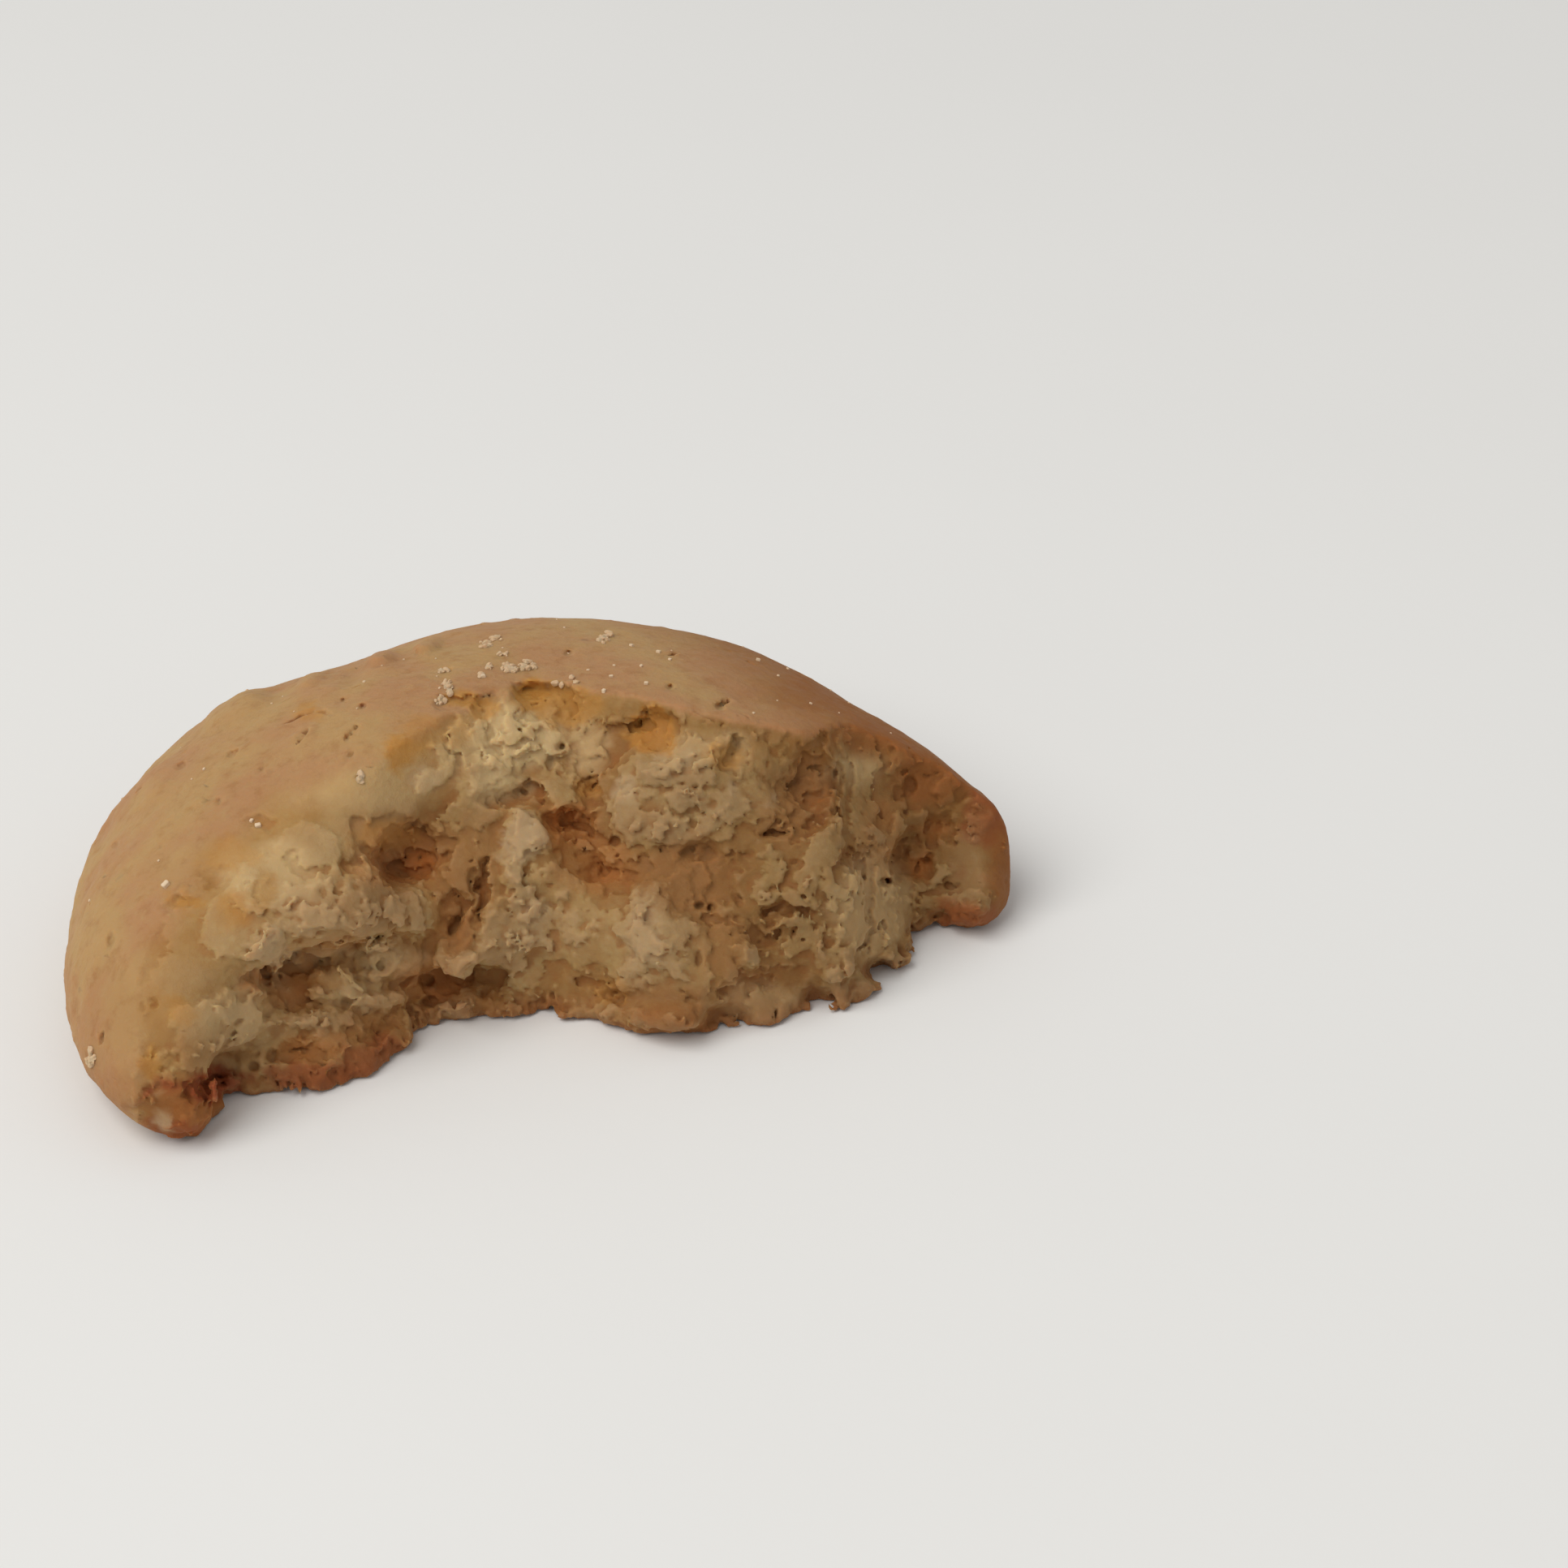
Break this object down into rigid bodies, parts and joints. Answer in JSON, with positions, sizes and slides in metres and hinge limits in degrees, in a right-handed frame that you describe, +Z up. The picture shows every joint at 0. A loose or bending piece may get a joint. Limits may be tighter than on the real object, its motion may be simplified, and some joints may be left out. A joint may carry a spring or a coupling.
{
  "type": "broken half of a soft amaretti biscuit",
  "caption": "Low domed almond biscuit broken by hand, with a browned crust, a torn open crumb face and a flat base to rest on.",
  "frame": {"origin": "bottom centre of the half's own box, on the plane that it rests on; the axis of the whole round biscuit is 7.5 mm in front of it, towards the broken face", "axes": "+X along the break, +Y towards the round back so that the broken face looks towards -Y, +Z up"},
  "size_m": [0.0519, 0.0369, 0.0157],
  "materials": {
    "baked_dough": "matte baked almond dough: golden brown crust outside, pale yellow open crumb on the broken face, darker brown underside"
  },
  "bodies": {
    "root": {"biscuit_half": "baked_dough"}
  },
  "joints": []
}
